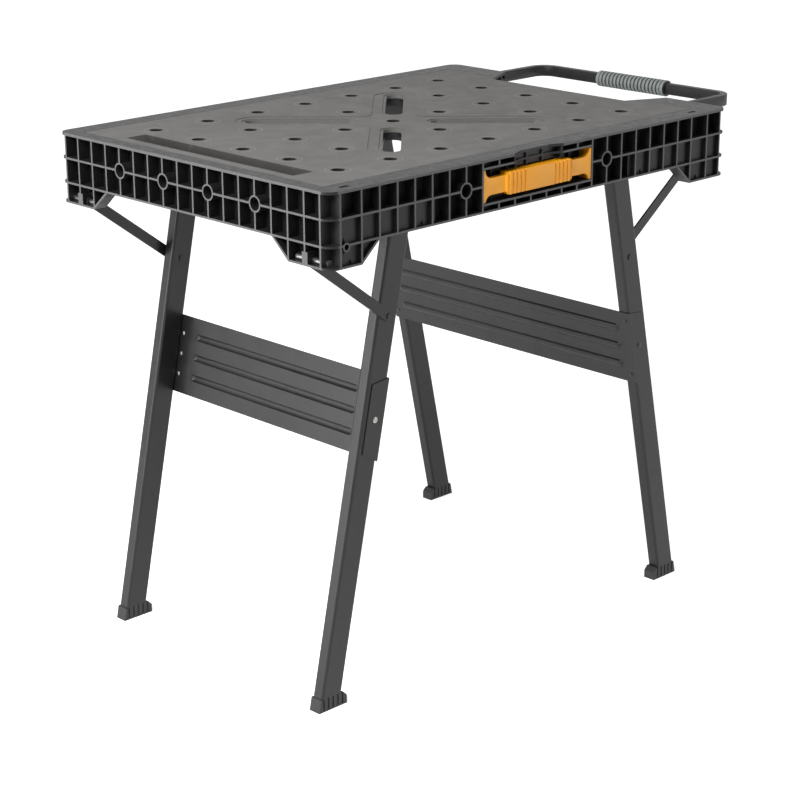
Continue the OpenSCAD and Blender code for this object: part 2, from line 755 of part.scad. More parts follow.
module carry_handle() {
    front = -top_w / 2 - grip_out;
    neck = front + neck_in;
    middle = grip_z + grip_h / 2;
    left = recess_a * cell + rib_t / 2;
    right = recess_b * cell - rib_t / 2;
    color("#f2a11d") difference() {
        union() {
            translate([mid_x, 0, grip_z]) intersection() {
                slab_xz(front, front + grip_t) grip_outline();
                translate([0, front + grip_t / 2, 0]) round_block(grip_l, grip_t, grip_t / 3, grip_h);
            }
            box([left, neck, middle - neck_h / 2], [right, neck + neck_t, middle + neck_h / 2]);
            for (s = [[left, 1], [right, -1]]) {
                box([s[0], neck, plate_lo], [s[0] + s[1] * plate_t, -rim_y, plate_hi]);
                translate([s[0] + s[1] * plate_t, 0, 0]) difference() {
                    box([-s[1] * cut, neck, max(plate_lo, middle - neck_h / 2 - flare_r)],
                        [s[1] * flare_r, neck + neck_t, min(plate_hi, middle + neck_h / 2 + flare_r)]);
                    for (z = [-1, 1]) translate([s[1] * flare_r, 0, middle + z * (neck_h / 2 + flare_r)])
                        bar_y(flare_r, neck - cut, neck + neck_t + cut);
                }
            }
        }
        for (s = [-1, 1], k = [0 : flute_n - 1])
            translate([mid_x + s * (grip_l / 2 - flute_in - flute_pitch * k), front, grip_z - cut])
                cylinder(r = flute_r, h = grip_h + 2 * cut);
        for (x = [left, right])
            translate([x, -rim_y - screw_in, row_z]) bar_x(screw_d / 2, -plate_t - cut, plate_t + cut);
    }
}

screw_d = 4;
screw_head_d = 8;
screw_head_h = 3;
screw_in = 4.5;
module handle_screws() {
    left = recess_a * cell + rib_t / 2;
    right = recess_b * cell - rib_t / 2;
    color("silver") for (s = [[left, 1], [right, -1]])
        translate([s[0] + s[1] * plate_t, -rim_y - screw_in, row_z]) {
            bar_x(screw_head_d / 2, 0, s[1] * screw_head_h);
            bar_x(screw_d / 2, -s[1] * plate_t, 0);
        }
}

// Pins on which the struts hang: the left ones in the ears of the left rim,
// the right ones standing inward from the front and back rims
pin_bite = 3;
left_head_d = 11;
left_head_t = 3;
anchor_y0 = left_leg_y + pin_bite;
anchor_y1 = top_w / 2 - cell_depth + rib_t / 2;
right_anchor_y0 = right_leg_y - strut_t - 2 * flute_r;
right_anchor_y1 = top_w / 2 - cell_depth + pin_bite;
anchor_flange_d = 13;
anchor_flange_t = 2;
module strut_pins() {
    color("silver") for (s = [-1, 1]) {
        translate([mid_x + anchor[0], 0, anchor[1]]) {
            bar_y(anchor_d / 2, s * anchor_y0, s * anchor_y1);
            bar_y(left_head_d / 2, s * anchor_y1, s * (anchor_y1 + left_head_t));
        }
        translate([mid_x - anchor[0], 0, anchor[1]]) {
            bar_y(anchor_d / 2, s * right_anchor_y0, s * right_anchor_y1);
            bar_y(anchor_flange_d / 2, s * (rim_y - anchor_flange_t), s * rim_y);
            bar_y(anchor_flange_d / 2, s * right_anchor_y0, s * (right_anchor_y0 - anchor_flange_t));
        }
    }
}

// Track plates: the pin's curve, opened to its width, in a plate under the deck.
// The left plates stand inside their legs on a flange, the right ones on the rims.
track_steps = 36;
track_edge = 14;
track_gap = 1.8;
track_flange_w = 18;
slot_half = pin_d / 2 + pass;
cap_step = 15;

// Which way the pin heads, and a point beside it at an angle from its left hand
function heading(share, fold_z) =
    let (step = 0.001)
    let (d = track(min(1, share + step), fold_z) - track(max(0, share - step), fold_z))
    d / norm(d);
function beside(share, fold_z, angle) =
    let (d = heading(share, fold_z))
    track(share, fold_z) + slot_half * (cos(angle) * [-d[1], d[0]] + sin(angle) * d);

module track_slot(fold_z) {
    polygon(concat(
        [for (k = [0 : track_steps]) beside(k / track_steps, fold_z, 0)],
        [for (a = [cap_step : cap_step : 180 - cap_step]) beside(1, fold_z, a)],
        [for (k = [track_steps : -1 : 0]) beside(k / track_steps, fold_z, 180)],
        [for (a = [cap_step : cap_step : 180 - cap_step]) beside(0, fold_z, 180 + a)]));
}

module track_plate(y, side, fold_z, high) {
    a = track(1, fold_z)[0] - track_edge;
    b = track(0, fold_z)[0] + track_edge;
    low = min(pin_z, fold_z) - track_edge;
    difference() {
        slab_xz(y, y + side * track_t) polygon([
            [a, high], [a, low + track_edge], [a + track_edge, low],
            [b - track_edge, low], [b, low + track_edge], [b, high]
        ]);
        slab_xz(y - side * cut, y + side * (track_t + cut)) track_slot(fold_z);
    }
}

module left_tracks() {
    y = left_leg_y - track_gap - track_t;
    a = track(1, left_fold_z)[0] - track_edge;
    b = track(0, left_fold_z)[0] + track_edge;
    color("#4c4d4f") translate([mid_x, 0, 0]) for (s = [-1, 1]) {
        track_plate(s * y, s, left_fold_z, skin_z - track_t / 2);
        box([a, s * y, skin_z - track_t], [b, s * (y + track_flange_w), skin_z]);
    }
}

module right_tracks() {
    y = right_leg_y + leg_t + track_gap;
    color("#4c4d4f") translate([mid_x, 0, 0]) mirror([1, 0, 0]) for (s = [-1, 1])
        track_plate(s * y, s, right_fold_z, ledge_z);
}

// The frame of one leg pair: X inward from the middle, the right pair mirrored
module pair(side) {
    translate([mid_x, 0, 0]) mirror([side > 0 ? 1 : 0, 0, 0]) children();
}

// Along an open leg: origin at its track pin, -Z down to the floor, X inward
module along_leg() {
    translate([pin[0], 0, pin[1]]) rotate([0, leg_lean, 0]) children();
}

// A length of leg tube between two distances from the pin, grown by a margin
module tube_bar(y, from, to, shrink) {
    w = leg_w - 2 * shrink;
    t = leg_t - 2 * shrink;
    r = max(leg_r - shrink, leg_r / 3);
    translate([0, y + leg_t / 2, -to]) round_block(w, t, r, to - from);
}

// One leg: the tube, round at its top, cut level at its foot, with bores for
// its track pin and its strut rivet
module leg(side, y) {
    far = leg_l + leg_w;
    color("#56575a") pair(side) difference() {
        intersection() {
            along_leg() difference() {
                tube_bar(y, -leg_w / 2, far, 0);
                tube_bar(y, -leg_w, far + cut, leg_wall);
            }
            union() {
                along_leg() bar_y(leg_w / 2, y - cut, y + leg_t + cut);
                along_leg() box([-leg_w, y - cut, 0], [leg_w, y + leg_t + cut, -far]);
            }
            box([-top_l, y - cut, foot_h], [top_l, y + leg_t + cut, top_z]);
        }
        along_leg() bar_y(pin_d / 2, y - cut, y + leg_t + cut);
        along_leg() translate([0, 0, -pin_to_rivet]) bar_y(rivet_d / 2 + run, y - cut, y + leg_t + cut);
    }
}

module left_front_leg() { leg(-1, -left_leg_y - leg_t); }
module left_back_leg() { leg(-1, left_leg_y); }
module right_front_leg() { leg(1, -right_leg_y - leg_t); }
module right_back_leg() { leg(1, right_leg_y); }

// A foot: a level sole block with a toe on its inner side and a plug in the tube
toe = 14;
heel = 2;
foot_slot_w = 3;
foot_slot_depth = 1.2;
plug_gap = 0.2;
module foot(side, y) {
    out = leg_x(0) - leg_w / 2 / cos(leg_lean) - heel;
    in = leg_x(0) + leg_w / 2 / cos(leg_lean) + toe;
    color("#1a1a1b") pair(side) {
        difference() {
            slab_xz(y, y + leg_t) polygon([
                [out, 0], [out + foot_h * tan(leg_lean), foot_h],
                [in - toe / 2, foot_h], [in, foot_h - toe / 2], [in, 0]
            ]);
            for (k = [0 : 4], s = [y - cut, y + leg_t - foot_slot_depth])
                translate([out + (in - out) * (k + 1) / 6 - foot_slot_w / 2, s, foot_slot_w])
                    cube([foot_slot_w, foot_slot_depth + cut, foot_h]);
        }
        intersection() {
            along_leg() tube_bar(y, leg_l - foot_h - plug_l, leg_l + leg_w, leg_wall + plug_gap);
            box([-top_l, y, foot_h], [top_l, y + leg_t, top_z]);
        }
    }
}

module left_front_foot() { foot(-1, -left_leg_y - leg_t); }
module left_back_foot() { foot(-1, left_leg_y); }
module right_front_foot() { foot(1, -right_leg_y - leg_t); }
module right_back_foot() { foot(1, right_leg_y); }

// A stretcher: a sheet on the legs' inner faces, wrapped round their outer faces,
// stiffened with three pressed beads that are hollow behind
wrap_d = 30;
wrap_chamfer = 10;
sheet_at = (pin_z - sheet_z) / cos(leg_lean);
module bead(half, r, sink) {
    bar_y(r, -half, half);
    for (s = [-1, 1]) translate([0, s * half, 0]) sphere(r = r);
}

module stretcher(side, y, bead_half) {
    edge = y + leg_t + sheet_t;
    r = (bead_w * bead_w / 4 + bead_h * bead_h) / (2 * bead_h);
    face = leg_w / 2;
    color("#515255") pair(side) along_leg() translate([0, 0, -sheet_at]) {
        difference() {
            union() {
                box([face, -edge, -sheet_h / 2], [face + sheet_t, edge, sheet_h / 2]);
                for (k = [-1, 0, 1]) intersection() {
                    translate([face + sheet_t + bead_h - r, 0, k * bead_pitch]) bead(bead_half, r);
                    box([face + sheet_t / 2, -edge, -sheet_h / 2], [face + 2 * r, edge, sheet_h / 2]);
                }
            }
            for (k = [-1, 0, 1])
                translate([face + sheet_t + bead_h - r, 0, k * bead_pitch]) bead(bead_half, r - sheet_t);
        }
        for (s = [-1, 1])
            slab_xz(s * (edge - sheet_t), s * edge) polygon([
                [face, -sheet_h / 2], [face, sheet_h / 2],
                [face - wrap_d, sheet_h / 2 - wrap_chamfer], [face - wrap_d, -sheet_h / 2 + wrap_chamfer]
            ]);
    }
}

left_bead_half = 178;
right_bead_half = 243;
module left_stretcher() { stretcher(-1, left_leg_y, left_bead_half); }
module right_stretcher() { stretcher(1, right_leg_y, right_bead_half); }

// Rivets with bevelled heads: one through each wrap, three on the left sheet beside
// each leg, and two at each end of the right sheet
head_d = 9;
head_rim = 0.5;
head_h = 1.4;
small_head_d = 7;
corner_in = 14;
module rivet_head(d) {
    cylinder(d = d, h = head_rim);
    translate([0, 0, head_rim]) cylinder(d1 = d, d2 = d / 2, h = head_h - head_rim);
}

module stretcher_rivets(side, y) {
    pair(side) along_leg() translate([0, 0, -sheet_at]) for (s = [-1, 1])
        translate([leg_w / 2 - wrap_d / 2, s * (y + leg_t + sheet_t), 0]) rotate([-s * 90, 0, 0])
            rivet_head(head_d);
}

module left_stretcher_rivets() {
    y = left_leg_y - small_head_d / 2 - head_h;
    color("silver") stretcher_rivets(-1, left_leg_y);
    color("silver") pair(-1) along_leg() translate([leg_w / 2, 0, -sheet_at])
        for (s = [-1, 1], k = [-1, 0, 1])
            translate([0, s * y, k * bead_pitch]) rotate([0, -90, 0]) rivet_head(small_head_d);
}

module right_stretcher_rivets() {
    y = right_leg_y + corner_in;
    z = sheet_h / 2 - corner_in;
    color("silver") stretcher_rivets(1, right_leg_y);
    color("silver") pair(1) along_leg() translate([leg_w / 2 + sheet_t, 0, -sheet_at])
        for (s = [-1, 1], k = [-1, 1])
            translate([0, s * y, k * z]) rotate([0, 90, 0]) rivet_head(small_head_d);
}

// Pins at the top of the legs, which run in the tracks
pin_head_d = 16;
pin_head_t = 2.2;
module left_track_pins() {
    y = left_leg_y - track_gap - track_t - pass;
    color("silver") pair(-1) along_leg() for (s = [-1, 1]) {
        bar_y(pin_d / 2, s * y, s * (left_leg_y + leg_t));
        bar_y(pin_head_d / 2, s * (y - pin_head_t), s * y);
    }
}

module right_track_pins() {
    y = right_leg_y + leg_t + track_gap + track_t - pass;
    color("silver") pair(1) along_leg() for (s = [-1, 1])
        bar_y(pin_d / 2, s * right_leg_y, s * y);
}

// A strut: a flat bar with round ends and two bores
strut_gap = 0.3;
module strut(side, y) {
    color("#56575a") pair(side) translate([anchor[0], 0, anchor[1]]) rotate([0, -strut_open, 0])
        difference() {
            union() {
                box([0, y, -strut_w / 2], [strut_l, y + strut_t, strut_w / 2]);
                for (x = [0, strut_l]) translate([x, 0, 0]) bar_y(strut_w / 2, y, y + strut_t);
            }
            bar_y(anchor_d / 2 + run, y - cut, y + strut_t + cut);
            translate([strut_l, 0, 0]) bar_y(rivet_d / 2, y - cut, y + strut_t + cut);
        }
}

left_strut_y = left_leg_y + leg_t + strut_gap;
right_strut_y = right_leg_y - strut_gap - strut_t;
module left_front_strut() { strut(-1, -left_strut_y - strut_t); }
module left_back_strut() { strut(-1, left_strut_y); }
module right_front_strut() { strut(1, -right_strut_y - strut_t); }
module right_back_strut() { strut(1, right_strut_y); }

// Rivets through strut and leg, with a flat head on each side
flat_head_d = 9.5;
flat_head_t = 1.2;
module strut_rivets(side, from, to) {
    color("silver") pair(side) translate([rivet[0], 0, rivet[1]]) for (s = [-1, 1]) {
        bar_y(rivet_d / 2, s * from, s * to);
        bar_y(flat_head_d / 2, s * from, s * (from - flat_head_t));
        bar_y(flat_head_d / 2, s * to, s * (to + flat_head_t));
    }
}

module left_strut_rivets() {
    strut_rivets(-1, left_leg_y - strut_gap, left_strut_y + strut_t);
}
module right_strut_rivets() {
    strut_rivets(1, right_strut_y, right_leg_y + leg_t + strut_gap);
}

// The bail: a flat bar bent to a U, which slides in two guides under the deck
guide_t = 2.5;
guide_l = 46;
bail_in = rim_x - guide_l - pass;
module bail_bar() {
    color("#232325") difference() {
        intersection() {
            translate([bail_x - 2 * bail_r, -bail_w / 2, bail_z]) cube([2 * bail_r, bail_w, bar_h]);
            translate([bail_x - 2 * bail_r, 0, bail_z]) round_block(4 * bail_r, bail_w, bail_r, bar_h);
        }
        translate([bail_x - 2 * bail_r, 0, bail_z - cut])
            round_block(4 * bail_r - 2 * bar_t, bail_w - 2 * bar_t, bail_r - bar_t, bar_h + 2 * cut);
    }
    color("#232325") for (s = [-1, 1]) difference() {
        box([bail_in, s * bail_y, bail_z], [bail_x - 2 * bail_r, s * bail_w / 2, bail_z + bar_h]);
        box([catch_x, s * (bail_y - cut), bail_z + bar_h / 2 - catch_h / 2],
            [catch_x + catch_l, s * (bail_w / 2 + cut), bail_z + bar_h / 2 + catch_h / 2]);
    }
}
catch_out = 15;
catch_x = top_l / 2 + catch_out;
catch_l = 8;
catch_h = 5;

// The ribbed sleeve round the middle of the bail
ring_n = 17;
ring_depth = 1.2;
collar_l = 6;
module bail_grip() {
    body_l = sleeve_grip_l - 2 * collar_l;
    pitch = body_l / ring_n;
    color("#6e7372") translate([bail_x - bar_t / 2, 0, bail_z + bar_h / 2]) difference() {
        union() {
            bar_y(sleeve_grip_d / 2 - ring_depth, -sleeve_grip_l / 2, sleeve_grip_l / 2);
            for (k = [0 : ring_n - 1])
                translate([0, -body_l / 2 + (k + 0.2) * pitch, 0]) bar_y(sleeve_grip_d / 2, 0, 0.6 * pitch);
            for (s = [-1, 1])
                bar_y(sleeve_grip_d / 2, s * (sleeve_grip_l / 2 - collar_l), s * sleeve_grip_l / 2);
        }
        box([-bar_t / 2, -sleeve_grip_l, -bar_h / 2], [bar_t / 2, sleeve_grip_l, bar_h / 2]);
    }
}

// Stops on the inner ends of the arms
stop_l = 7;
stop_out = 2;
module bail_stops() {
    color("#3a3a3c") for (s = [-1, 1])
        box([bail_in, s * (bail_y - stop_out), bail_z - stop_out],
            [bail_in - stop_l, s * (bail_w / 2 + stop_out), bail_z + bar_h]);
}

// Guides: a channel under the deck round each arm
module bail_guides() {
    b = rim_x;
    a = b - guide_l;
    color("#3a3a3c") for (s = [-1, 1]) difference() {
        box([a, s * (bail_y - pass - guide_t), bail_z - pass - guide_t],
            [b, s * (bail_w / 2 + pass + guide_t), skin_z]);
        box([a - cut, s * (bail_y - pass), bail_z - pass],
            [b + cut, s * (bail_w / 2 + pass), skin_z + cut]);
    }
}

deck_panel();
deck_quarters();
deck_hub();
slot_rails();
slot_ends();
parts_tray();
hole_sleeves();
deck_ribs();
rim_left();
rim_right();
rim_front();
rim_back();
carry_handle();
handle_screws();
strut_pins();
left_tracks();
right_tracks();
bail_guides();
left_front_leg();
left_back_leg();
left_front_foot();
left_back_foot();
left_stretcher();
left_stretcher_rivets();
left_track_pins();
left_front_strut();
left_back_strut();
left_strut_rivets();
right_front_leg();
right_back_leg();
right_front_foot();
right_back_foot();
right_stretcher();
right_stretcher_rivets();
right_track_pins();
right_front_strut();
right_back_strut();
right_strut_rivets();
bail_bar();
bail_grip();
bail_stops();
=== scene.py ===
import json
import math

import bmesh
import bpy
from mathutils import Matrix, Vector


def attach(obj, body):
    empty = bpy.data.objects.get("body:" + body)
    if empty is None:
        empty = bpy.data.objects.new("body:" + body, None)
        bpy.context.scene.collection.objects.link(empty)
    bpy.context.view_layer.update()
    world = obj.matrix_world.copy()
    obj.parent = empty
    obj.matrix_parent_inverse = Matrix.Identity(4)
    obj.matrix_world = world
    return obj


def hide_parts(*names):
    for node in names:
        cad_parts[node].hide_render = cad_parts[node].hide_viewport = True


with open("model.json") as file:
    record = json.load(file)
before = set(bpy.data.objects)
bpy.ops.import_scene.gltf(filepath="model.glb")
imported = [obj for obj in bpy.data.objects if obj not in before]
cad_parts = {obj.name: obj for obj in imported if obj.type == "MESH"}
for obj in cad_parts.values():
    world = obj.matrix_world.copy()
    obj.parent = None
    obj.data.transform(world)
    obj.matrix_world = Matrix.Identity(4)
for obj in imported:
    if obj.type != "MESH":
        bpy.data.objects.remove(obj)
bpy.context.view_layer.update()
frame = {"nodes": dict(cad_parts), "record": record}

# Camera
# A long lens a little below eye height, off the bench's front left corner, aimed
# down at the middle of the legs. It frames the bench as the photograph does.
CAMERA_AT = Vector((-2.2417, -2.2928, 1.3928))
CAMERA_TURN = -0.773
CAMERA_DIP = 0.321
CAMERA_ROLL = -0.005
CAMERA_LENS_MM = 95.13


def placed(name, data):
    """A new object in the scene."""
    made = bpy.data.objects.new(name, data)
    bpy.context.scene.collection.objects.link(made)
    return made


back = Vector((
    math.sin(CAMERA_TURN) * math.cos(CAMERA_DIP),
    -math.cos(CAMERA_TURN) * math.cos(CAMERA_DIP),
    math.sin(CAMERA_DIP)))
right = Vector((0, 0, 1)).cross(back).normalized()
up = back.cross(right)
turn = Matrix((right, up, back)).transposed().to_4x4()
camera_data = bpy.data.cameras.new("camera")
camera_data.lens = CAMERA_LENS_MM
camera = placed("camera", camera_data)
camera.matrix_world = (
    Matrix.Translation(CAMERA_AT) @ turn @ Matrix.Rotation(CAMERA_ROLL, 4, "Z"))
bpy.context.scene.camera = camera
bpy.context.scene.view_settings.view_transform = "Standard"

# Deck
# A moulded panel of mineral-filled polypropylene with a sunk cross, laid into the
# rim on a ledge. Its spark-eroded grain spreads the light to a soft grey sheen.
MM = 0.001
HOLE_PITCH = 100 * MM
MID_X = -HOLE_PITCH / 6
HOLE_WALL_R = 10.3 * MM
HOLE_RING_R = 18 * MM
HOLE_RING_W = 1.0 * MM
RING_REACH = 3.4 * HOLE_PITCH
RING_HIGHLIGHT_SHARE = 0.6
SCUFF_STRETCH = (0.12, 1, 1)
SCUFF_SHARE = 0.35
FACE_Z = 779.6 * MM
DECK_NODES = [
    "deck_panel", "deck_quarters", "deck_hub", "slot_rails", "slot_ends", "deck_ribs"]


def linear(hex_colour):
    """A hex sRGB colour as linear red, green, blue and alpha."""
    parts = [int(hex_colour[i:i + 2], 16) / 255 for i in (1, 3, 5)]
    return [p / 12.92 if p <= 0.04045 else ((p + 0.055) / 1.055) ** 2.4 for p in parts] + [1]


def add(tree, kind, inputs=(), output=0, **settings):
    """Adds a node with its settings, sets or links its inputs, and gives one output.

    The inputs are a list from the first one on, or a dict by name or number.
    """
    made = tree.nodes.new("ShaderNode" + kind)
    for name, value in settings.items():
        setattr(made, name, value)
    for key, value in inputs.items() if isinstance(inputs, dict) else enumerate(inputs):
        if isinstance(value, bpy.types.NodeSocket):
            tree.links.new(value, made.inputs[key])
        else:
            made.inputs[key].default_value = value
    return made.outputs[output]


def material(name, constants):
    """A new material with constants set on its shader: gives it, its nodes and its shader."""
    made = bpy.data.materials.new(name)
    made.use_nodes = True
    shader = made.node_tree.nodes["Principled BSDF"]
    for socket, value in constants.items():
        shader.inputs[socket].default_value = value
    return made, made.node_tree, shader


def per_mm(size):
    """The scale of a pattern whose features are this many millimetres across."""
    return 1 / (size * MM)


def cloudy_colour(tree, place, low, high, size_mm, detail, edges=(0, 1)):
    """A colour that drifts between two tones, in patches of a real size."""
    cloud = add(tree, "TexNoise", {"Vector": place, "Scale": per_mm(size_mm), "Detail": detail})
    share = add(tree, "MapRange", [cloud, *edges])
    return add(tree, "Mix", {0: share, 6: linear(low), 7: linear(high)}, 2, data_type="RGBA")


def uneven_roughness(tree, place, low, high, size_mm, detail):
    """Makes the shader's roughness drift between two values, in patches of a real size."""
    cloud = add(tree, "TexNoise", {"Vector": place, "Scale": per_mm(size_mm), "Detail": detail})
    rough = add(tree, "MapRange", [cloud, 0.3, 0.7, low, high])
    tree.links.new(rough, tree.nodes["Principled BSDF"].inputs["Roughness"])


def fine_grain(tree, place, size_mm, strength, depth_mm):
    """Gives the shader a pebbled face, with grains of a real size and depth."""
    height = add(tree, "TexNoise", {"Vector": place, "Scale": per_mm(size_mm), "Detail": 2})
    bump = add(tree, "Bump", {
        "Height": height, "Strength": strength, "Distance": depth_mm * MM})
    tree.links.new(bump, tree.nodes["Principled BSDF"].inputs["Normal"])


def off_axis(tree, across):
    """How far a point lies from an axis, from its two offsets across the axis."""
    squares = [add(tree, "Math", [off, 2], operation="POWER") for off in across]
    total = add(tree, "Math", squares, operation="ADD")
    return add(tree, "Math", [total], operation="SQRT")


def dress(node_names, finish):
    """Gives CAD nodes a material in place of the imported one."""
    for name in node_names:
        mesh = frame["nodes"][name].data
        for slot in range(len(mesh.materials)):
            mesh.materials[slot] = finish


def deck_plastic(name, low, high):
    """Mid grey with a matt, pebbled face: cloudy tone, faint scuffs, pale rings round the holes
    as painted highlights and painted shade in the holes.
    """
    made, tree, shader = material(
        name, {"Roughness": 0.62, "IOR": 1.46, "Specular IOR Level": 0.25})
    place = add(tree, "TexCoord", output="Object")
    axes = add(tree, "SeparateXYZ", [place]).node.outputs
    base = cloudy_colour(tree, place, low, high, size_mm=110, detail=3, edges=(0.3, 0.7))
    # Scuffs run along the bench, as things are slid over it.
    drawn_out = add(tree, "Mapping", {"Vector": place, "Scale": SCUFF_STRETCH})
    scuff = add(tree, "TexNoise", {"Vector": drawn_out, "Scale": per_mm(14), "Detail": 4})
    scuff = add(tree, "MapRange", [scuff, 0.62, 0.75, 0, SCUFF_SHARE])
    wear_and_highlight = add(tree, "Mix", {0: scuff, 6: base, 7: linear("#6c6b69")}, 2, data_type="RGBA")
    # The offsets from the nearest dog hole repeat with the holes' pitch.
    across = []
    for axis, middle in (("X", MID_X), ("Y", 0)):
        off = axes[axis]
        for operation, amount in (("SUBTRACT", middle - HOLE_PITCH / 2),
                                  ("FLOORED_MODULO", HOLE_PITCH),
                                  ("SUBTRACT", HOLE_PITCH / 2)):
            off = add(tree, "Math", [off, amount], operation=operation)
        across.append(off)
    reach = off_axis(tree, across)
    # A pale ring is painted round each hole as a painted highlight, on the working
    # surface only, and the rings stop with the last column of holes.
    off = add(tree, "Math", [reach, HOLE_RING_R], operation="SUBTRACT")
    off = add(tree, "Math", [off], operation="ABSOLUTE")
    lit_ring = add(tree, "MapRange", [off, 0, HOLE_RING_W, 1, 0])
    inside = add(tree, "Math", [axes["X"], MID_X], operation="SUBTRACT")
    inside = add(tree, "Math", [inside], operation="ABSOLUTE")
    inside = add(tree, "Math", [inside, RING_REACH], operation="LESS_THAN")
    on_top = add(tree, "Math", [axes["Z"], FACE_Z], operation="GREATER_THAN")
    for factor in (inside, on_top, RING_HIGHLIGHT_SHARE):
        lit_ring = add(tree, "Math", [lit_ring, factor], operation="MULTIPLY")
    lit = add(tree, "Mix", {0: lit_ring, 6: wear_and_highlight, 7: linear("#8e8d8a")}, 2, data_type="RGBA")
    # Painted shade: the holes' walls are painted as dark as the sleeves below them.
    hole_shade = add(tree, "Math", [reach, HOLE_WALL_R], operation="LESS_THAN")
    below = add(tree, "Math", [axes["Z"], FACE_Z], operation="LESS_THAN")
    hole_shade = add(tree, "Math", [hole_shade, below], operation="MULTIPLY")
    shown = add(tree, "Mix", {0: hole_shade, 6: lit, 7: linear("#161617")}, 2, data_type="RGBA")
    tree.links.new(shown, shader.inputs["Base Color"])
    # The real grain is about 0.3 mm, too fine to show, so it is drawn at 1.6 mm.
    fine_grain(tree, place, size_mm=1.6, strength=0.14, depth_mm=0.4)
    uneven_roughness(tree, place, 0.56, 0.68, size_mm=30, detail=3)
    return made


deck_finish = deck_plastic("grained polypropylene", "#585755", "#61605e")
dress(DECK_NODES, deck_finish)

# Parts tray
# A trough moulded into the deck at its left end, with a ramp at each end. Its inside
# is a darker grey than the skin round it, as the photograph shows it: painted shade
# in the trough.
dress(["parts_tray"], deck_plastic("grained polypropylene in painted shade", "#343332", "#3c3b3a"))

# Rim
# Four moulded sides of black polypropylene, joined at the corners, with open cells
# outward. The ribs' outer edges are painted pale as a painted highlight, and the cells
# fall into shade.
TOP_HALF_L = 425 * MM
TOP_HALF_W = 300 * MM
HIGHLIGHT_BAND = 0.3 * MM


def rim_plastic():
    """Near black with a satin moulded face, a little cloudy from flow in the mould, with a
    painted highlight on the ribs' outer edges.
    """
    made, tree, shader = material(
        "black polypropylene", {"Roughness": 0.42, "IOR": 1.49, "Specular IOR Level": 0.26})
    place = add(tree, "TexCoord", output="Object")
    base = cloudy_colour(tree, place, "#151516", "#1d1d1f", size_mm=40, detail=3)
    # Painted highlight: the outermost 0.3 mm of the ribs is painted pale.
    axes = add(tree, "SeparateXYZ", [place]).node.outputs
    sides = []
    for axis, far in (("X", TOP_HALF_L), ("Y", TOP_HALF_W)):
        out = add(tree, "Math", [axes[axis]], operation="ABSOLUTE")
        sides.append(add(tree, "MapRange", [out, far - HIGHLIGHT_BAND, far - HIGHLIGHT_BAND / 2]))
    edge_highlight = add(tree, "Math", sides, operation="MAXIMUM")
    wear_and_highlight = add(tree, "Mix", {0: edge_highlight, 6: base, 7: linear("#545455")}, 2, data_type="RGBA")
    tree.links.new(wear_and_highlight, shader.inputs["Base Color"])
    uneven_roughness(tree, place, 0.38, 0.48, size_mm=12, detail=3)
    # The mould's texture is about 0.2 mm, and is drawn at 1 mm so that it shows.
    fine_grain(tree, place, size_mm=1.0, strength=0.02, depth_mm=0.3)
    return made


rim_finish = rim_plastic()
dress(["rim_left", "rim_right"], rim_finish)

# Ringed bosses
# The front and back rims carry two ringed bosses each, whose bores look deep and
# dark in the photograph. The rims are copied with their bores' floors set inward.
BODIES = frame["record"]["behaviour"]["bodies"]
BOSS_X = (-5 * HOLE_PITCH / 3, 4 * HOLE_PITCH / 3)
BOSS_Z = 742 * MM
BOSS_BORE_R = 9.5 * MM
CAD_FLOOR_Y = 299 * MM
SEEN_FLOOR_Y = 284 * MM
FLOOR_TOLERANCE = 0.05 * MM
BORE_TOLERANCE = 0.1 * MM


def stand_in(node, mesh, finish):
    """A mesh in one material, shown in a CAD node's place and on the node's body."""
    mesh.materials.clear()
    mesh.materials.append(finish)
    for face in mesh.polygons:
        face.material_index = 0
    piece = placed(node + "_piece", mesh)
    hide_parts(node)
    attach(piece, next(body for body, nodes in BODIES.items() if node in nodes))
    return piece


def deep_bored(node, finish):
    """A copy of a rim whose bores go 15 mm deeper."""
    mesh = frame["nodes"][node].data.copy()
    for vert in mesh.vertices:
        x, y, z = vert.co
        off = min(math.hypot(x - middle, z - BOSS_Z) for middle in BOSS_X)
        on_floor = abs(abs(y) - CAD_FLOOR_Y) < FLOOR_TOLERANCE
        if on_floor and off < BOSS_BORE_R + BORE_TOLERANCE:
            vert.co.y = math.copysign(SEEN_FLOOR_Y, y)
    stand_in(node, mesh, finish)


deep_bored("rim_front", rim_finish)
deep_bored("rim_back", rim_finish)

# Clamp slot walls
# The moulded wall that hangs round each clamp slot under the deck, and the sleeves
# under the dog holes. They take the black rim plastic below the skin as painted
# shade, so holes and slots look dark.
SLOT_L = 170 * MM
SLOT_W = 27.5 * MM
SLOT_WALL_T = 2.2 * MM
SLOT_WALL_Z = (773 * MM, 761 * MM)
SLOT_STEPS = 12


def stadium(middle, turn, grow):
    """The outline of a slot in plan, wider than the slot all round by grow."""
    radius = SLOT_W / 2 + grow
    points = []
    for end in (1, -1):
        for step in range(SLOT_STEPS + 1):
            angle = math.pi * (step / SLOT_STEPS - 0.5) + (0 if end > 0 else math.pi)
            along = end * (SLOT_L - SLOT_W) / 2 + radius * math.cos(angle)
            across = radius * math.sin(angle)
            points.append((middle[0] + along * math.cos(turn) - across * math.sin(turn),
                           middle[1] + along * math.sin(turn) + across * math.cos(turn)))
    return points


def slot_walls():
    """Four closed walls, each skinned through its inner and outer outlines."""
    high, low = SLOT_WALL_Z
    reach = HOLE_PITCH * math.sqrt(2)
    built = bmesh.new()
    for quarter in range(4):
        turn = math.radians(45 + 90 * quarter)
        middle = (MID_X + reach * math.cos(turn), reach * math.sin(turn))
        loops = [
            [built.verts.new((x, y, z)) for x, y in stadium(middle, turn, grow)]
            for grow, z in ((0, high), (0, low), (SLOT_WALL_T, low), (SLOT_WALL_T, high))]
        count = len(loops[0])
        for a, b in zip(loops, loops[1:] + loops[:1]):
            for k in range(count):
                built.faces.new((a[k], a[(k + 1) % count], b[(k + 1) % count], b[k]))
    bmesh.ops.recalc_face_normals(built, faces=built.faces)
    return built


